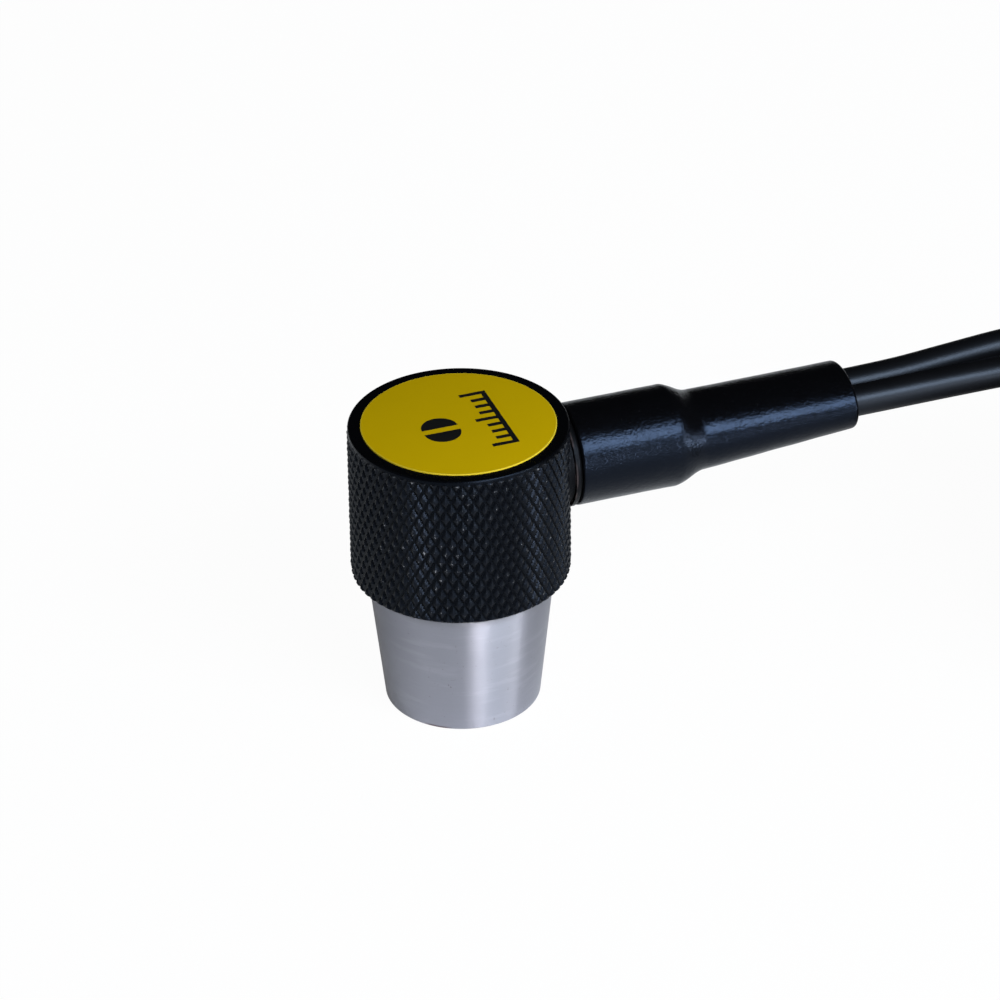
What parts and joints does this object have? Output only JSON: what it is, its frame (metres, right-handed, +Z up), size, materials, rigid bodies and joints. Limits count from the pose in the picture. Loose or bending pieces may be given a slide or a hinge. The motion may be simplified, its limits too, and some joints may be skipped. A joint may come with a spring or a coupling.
{
  "type": "ultrasonic thickness gauge probe",
  "caption": "Right-angle dual-element ultrasonic probe: tapered nose, diamond-knurled round housing with a label on top, sleeved side exit and a coiled coaxial lead with push-pull plugs.",
  "frame": {"origin": "centre of the contact face", "axes": "+Z up the probe's axis from the contact face to the label, +X along the cable exit"},
  "size_m": [0.1071, 0.0518, 0.0268],
  "materials": {
    "black_anodised": "black anodised metal, crests slightly worn",
    "label_yellow": "dull yellow printed label",
    "turned_metal": "fine turned metal",
    "delay_resin": "hard amber resin",
    "cork": "cork",
    "ceramic": "fired ceramic",
    "filled_resin": "metal-filled resin",
    "liner_film": "insulating film",
    "board_green": "lacquered glass-fibre board",
    "copper": "bare copper",
    "shrink_black": "satin black heat-shrink",
    "cable_black": "satin black cable jacket",
    "tie_black": "black hook-and-loop strap",
    "boot_black": "moulded black rubber",
    "plug_metal": "satin nickel plate",
    "insulator_white": "white insulator",
    "contact_gold": "gold plate"
  },
  "bodies": {
    "probe": {"housing": "black_anodised", "cable_tube": "black_anodised", "label_disc": "label_yellow", "nose_shell": "turned_metal", "delay_block_transmit": "delay_resin", "delay_block_receive": "delay_resin", "acoustic_barrier": "cork", "crystal_transmit": "ceramic", "crystal_receive": "ceramic", "damping_block_transmit": "filled_resin", "damping_block_receive": "filled_resin", "insulating_liner": "liner_film", "terminal_board": "board_green", "tuning_coil_transmit": "copper", "tuning_coil_receive": "copper", "hot_lead_transmit": "copper", "hot_lead_receive": "copper", "ground_lead": "copper", "shrink_sleeve": "shrink_black", "coax_end_transmit": "cable_black", "coax_end_receive": "cable_black", "cable_lead_transmit": "cable_black", "cable_lead_receive": "cable_black", "cable_coil": "cable_black", "cable_tail_transmit": "cable_black", "cable_tail_receive": "cable_black", "coil_ties": "tie_black", "plug_boot_transmit": "boot_black", "plug_boot_receive": "boot_black", "plug_nut_transmit": "plug_metal", "plug_nut_receive": "plug_metal", "plug_body_transmit": "plug_metal", "plug_body_receive": "plug_metal", "plug_insulator_transmit": "insulator_white", "plug_insulator_receive": "insulator_white", "plug_pin_transmit": "contact_gold", "plug_pin_receive": "contact_gold"},
    "release_sleeve_transmit": {"plug_sleeve_transmit": "plug_metal"},
    "release_sleeve_receive": {"plug_sleeve_receive": "plug_metal"}
  },
  "joints": [
    {"name": "release_slide_transmit", "type": "slide", "parent": "probe", "child": "release_sleeve_transmit", "axis": [-1, 0, 0], "range_m": [0, 0.0012]},
    {"name": "release_slide_receive", "type": "slide", "parent": "probe", "child": "release_sleeve_receive", "axis": [-1, 0, 0], "range_m": [0, 0.0012]}
  ]
}
